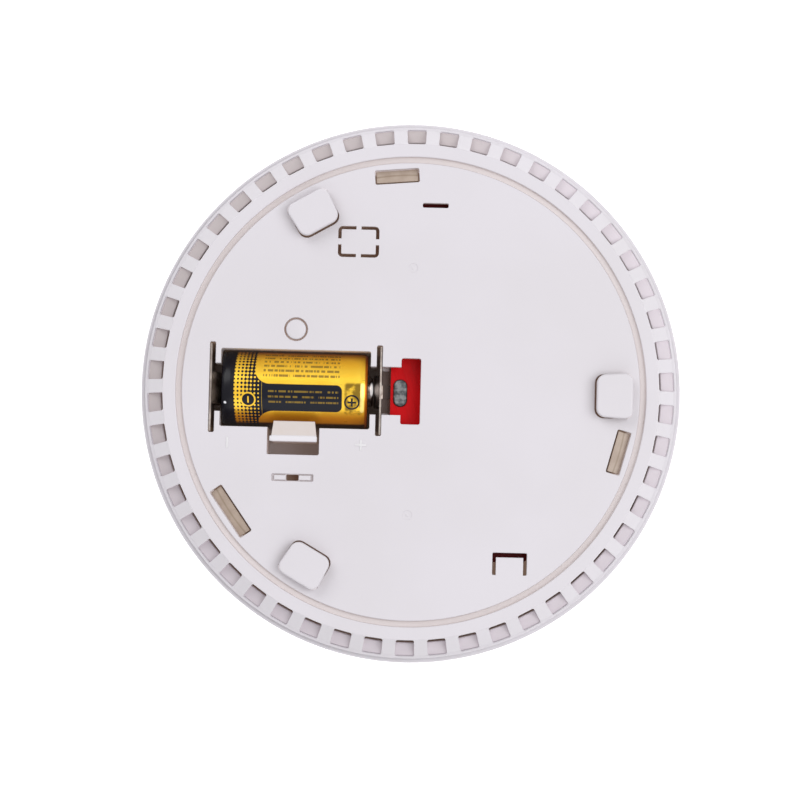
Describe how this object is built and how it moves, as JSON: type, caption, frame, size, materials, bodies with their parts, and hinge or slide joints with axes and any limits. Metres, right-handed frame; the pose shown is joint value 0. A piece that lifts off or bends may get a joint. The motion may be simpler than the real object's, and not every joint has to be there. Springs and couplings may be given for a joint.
{
  "type": "smoke detector",
  "caption": "Round ceiling smoke detector, seen from its mounting side: bayonet lugs, a ring of smoke openings, and a lift-out battery held by a springy latch.",
  "frame": {"origin": "middle of the flat front face, which it lies on", "axes": "+Z points from the front to the ceiling side, along the round body's axis; the battery lies along X with its positive end towards +X"},
  "size_m": [0.12, 0.12, 0.037],
  "materials": {
    "housing_white": "fine satin moulded ABS",
    "button_white": "fine satin moulded ABS",
    "board_red": "red solder mask",
    "solder_grey": "dull tin solder",
    "spring_steel": "nickel-plated spring strip",
    "cell_can": "nickel-plated can",
    "cell_print": "printed shrink sleeve, gold and dark navy",
    "cell_cap": "polished nickel",
    "cell_washer": "black card",
    "screw_steel": "zinc plated",
    "chamber_black": "black moulded",
    "screen_steel": "etched",
    "optic_clear": "clear tinted resin",
    "optic_dark": "dark daylight filter resin",
    "sounder_black": "moulded",
    "sounder_brass": "rolled",
    "sounder_ceramic": "fired and silvered",
    "part_black": "moulded resin",
    "switch_steel": "stamped",
    "capacitor_sleeve": "shrink sleeve",
    "coil_ferrite": "ferrite and copper",
    "radio_green": "green solder mask",
    "lamp_red": "tinted resin",
    "pipe_clear": "clear polycarbonate"
  },
  "bodies": {
    "detector": {"rear_housing": "housing_white", "front_cover": "housing_white", "negative_contact": "spring_steel", "positive_contact": "spring_steel", "contact_solder": "solder_grey", "circuit_board": "board_red", "board_screws": "screw_steel", "chamber_base": "chamber_black", "chamber_cover": "chamber_black", "insect_screen": "screen_steel", "infrared_emitter": "optic_clear", "light_receiver": "optic_dark", "sounder_cup": "sounder_black", "sounder_disc": "sounder_brass", "sounder_ceramic": "sounder_ceramic", "sounder_fingers": "spring_steel", "control_chip": "part_black", "radio_board": "radio_green", "radio_shield": "switch_steel", "test_switch": "part_black", "pairing_switch": "part_black", "capacitors": "capacitor_sleeve", "boost_coil": "coil_ferrite", "status_lamp": "lamp_red", "light_pipe": "pipe_clear"},
    "battery": {"battery_can": "cell_can", "battery_sleeve": "cell_print", "battery_washer": "cell_washer", "battery_cap": "cell_cap"},
    "latch": {"battery_latch": "housing_white"},
    "tongue": {"locking_tongue": "housing_white"},
    "pairing_key": {"pairing_button": "button_white"},
    "test_key": {"test_button": "button_white"}
  },
  "joints": [
    {"name": "battery_lift", "type": "slide", "parent": "detector", "child": "battery", "axis": [0, 0, 1], "range_m": [0, 0.011]},
    {"name": "latch_flex", "type": "hinge", "parent": "detector", "child": "latch", "pos_m": [-0.0257, -0.011, 0.0176], "axis": [1, 0, 0], "range_deg": [0, 9.6]},
    {"name": "tongue_flex", "type": "hinge", "parent": "detector", "child": "tongue", "pos_m": [0.02265, -0.0399, 0.0326], "axis": [1, 0, 0], "range_deg": [-5, 0], "stiffness_Nm_per_rad": 0.05},
    {"name": "pairing_press", "type": "slide", "parent": "detector", "child": "pairing_key", "axis": [0, 0, -1], "range_m": [0, 0.0008], "stiffness_N_per_m": 500, "springref_m": -0.001},
    {"name": "test_press", "type": "slide", "parent": "detector", "child": "test_key", "axis": [0, 0, 1], "range_m": [0, 0.001], "stiffness_N_per_m": 600, "springref_m": -0.002}
  ],
  "couplings": [
    {"joint": "latch_flex", "follows": "battery_lift", "rad_per_m": 15.23}
  ]
}
